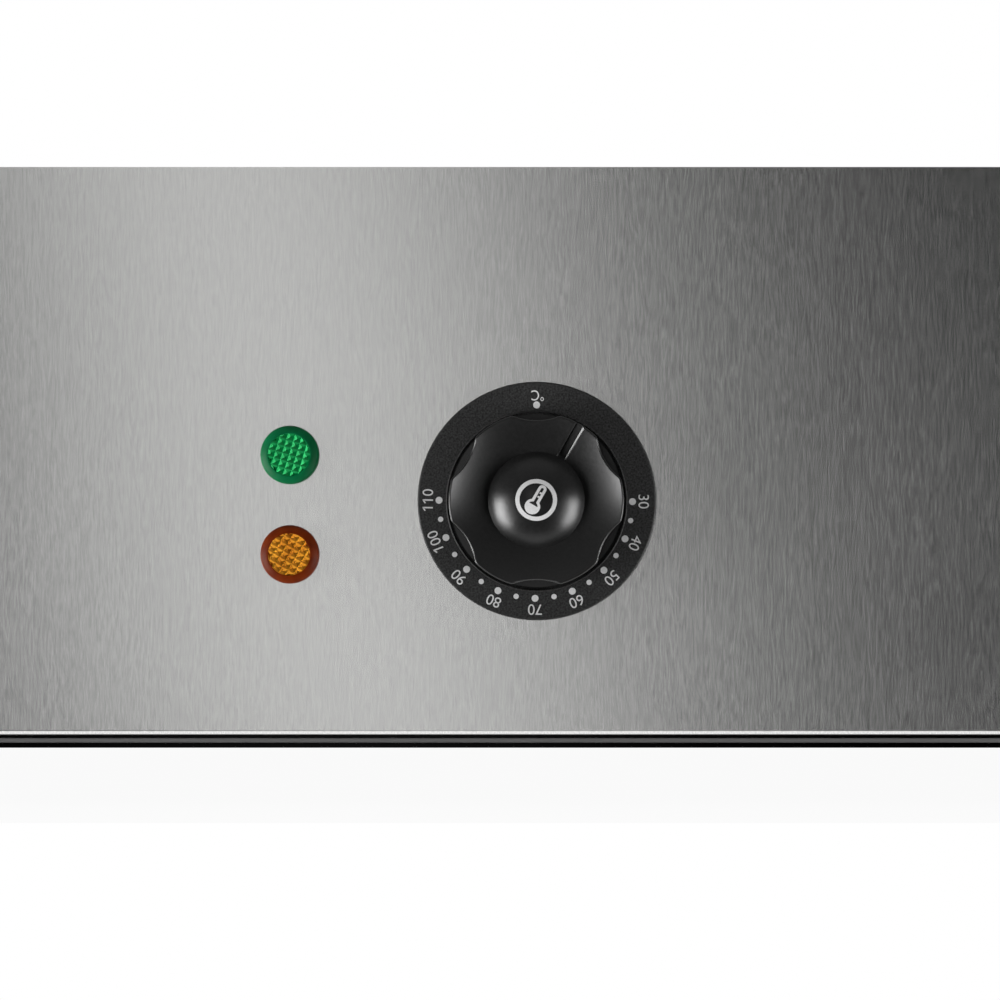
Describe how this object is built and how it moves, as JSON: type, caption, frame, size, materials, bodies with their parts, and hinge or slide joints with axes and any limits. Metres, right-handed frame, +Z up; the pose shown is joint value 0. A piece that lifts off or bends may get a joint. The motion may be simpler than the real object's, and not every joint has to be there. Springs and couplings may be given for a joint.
{
  "type": "electric bain-marie",
  "caption": "Countertop water-bath food warmer with a brushed steel casing, lift-out food pans under hinged lids, a thermostat knob with pilot lamps and a drain tap.",
  "frame": {"origin": "middle of the whole footprint, at the height of the table under the feet", "axes": "+X to the right seen from the front, +Y to the back, +Z up; the control panel faces -Y"},
  "size_m": [0.6, 0.5112, 0.1833],
  "materials": {
    "brushed_steel": "brushed",
    "pan_steel": "satin",
    "tank_steel": "pickled",
    "turned_steel": "turned",
    "chromed_brass": "polished",
    "zinc_steel": "zinc plated",
    "base_paint": "black semi-gloss",
    "black_phenolic": "satin moulded",
    "black_dial": "spark-textured",
    "black_nylon": "moulded",
    "red_vinyl": "dipped",
    "white_nylon": "moulded",
    "tan_housing": "moulded",
    "rubber": "moulded",
    "silicone": "moulded",
    "green_lens": "clear moulded",
    "amber_lens": "clear moulded",
    "lamp_glass": "clear",
    "brass": "machined",
    "copper_tube": "drawn",
    "element_sheath": "heat-darkened",
    "mineral_board": "pressed",
    "wire_sleeve": "extruded"
  },
  "bodies": {
    "base": {"front_panel": "brushed_steel", "outer_casing": "brushed_steel", "top_deck": "brushed_steel", "pan_left": "pan_steel", "pan_right": "pan_steel", "divider_bar": "pan_steel", "brackets_left": "pan_steel", "brackets_right": "pan_steel", "water_tank": "tank_steel", "guard_tray": "tank_steel", "element_saddles": "tank_steel", "bulb_clip": "tank_steel", "hinge_pins": "turned_steel", "drain_pipe": "turned_steel", "thermostat_bulb": "turned_steel", "valve_body": "chromed_brass", "spout": "chromed_brass", "tap_rose": "chromed_brass", "packing_nut": "chromed_brass", "casing_screws": "zinc_steel", "thermostat_plate": "zinc_steel", "thermostat_screws": "zinc_steel", "lamp_clips": "zinc_steel", "base_moulding": "base_paint", "dial_ring": "black_dial", "cord_gland": "black_nylon", "lamp_barrels": "white_nylon", "terminal_block": "white_nylon", "safety_cutout": "white_nylon", "thermostat": "tan_housing", "feet": "rubber", "element_seals": "silicone", "lens_green": "green_lens", "lens_amber": "amber_lens", "lamp_bulbs": "lamp_glass", "tank_glands": "brass", "lock_nuts": "brass", "terminal_screws": "brass", "spade_tabs": "brass", "capillary": "copper_tube", "heating_element": "element_sheath", "insulation_board": "mineral_board", "wiring": "wire_sleeve"},
    "knob": {"knob": "black_phenolic", "spindle": "turned_steel"},
    "lid_left": {"lid_left": "pan_steel", "handle_bar_left": "pan_steel", "buffers_left": "silicone", "leaves_left": "pan_steel", "rivets_left": "zinc_steel"},
    "lid_right": {"lid_right": "pan_steel", "handle_bar_right": "pan_steel", "buffers_right": "silicone", "leaves_right": "pan_steel", "rivets_right": "zinc_steel"},
    "tap_lever": {"valve_ball": "turned_steel", "valve_stem": "turned_steel", "lever": "turned_steel", "lever_grip": "red_vinyl", "lever_nut": "turned_steel"}
  },
  "joints": [
    {"name": "knob_turn", "type": "hinge", "parent": "base", "child": "knob", "pos_m": [0.0092, -0.1824, 0.0757], "axis": [0, 1, 0], "range_deg": [-30, 240]},
    {"name": "lid_left_hinge", "type": "hinge", "parent": "base", "child": "lid_left", "pos_m": [-0.13275, 0.2056, 0.16035], "axis": [-1, 0, 0], "range_deg": [0, 105]},
    {"name": "lid_right_hinge", "type": "hinge", "parent": "base", "child": "lid_right", "pos_m": [0.13275, 0.2056, 0.16035], "axis": [-1, 0, 0], "range_deg": [0, 105]},
    {"name": "tap_lever_turn", "type": "hinge", "parent": "base", "child": "tap_lever", "pos_m": [0.215, -0.2056, 0.04275], "axis": [0, 0, -1], "range_deg": [0, 90]}
  ]
}
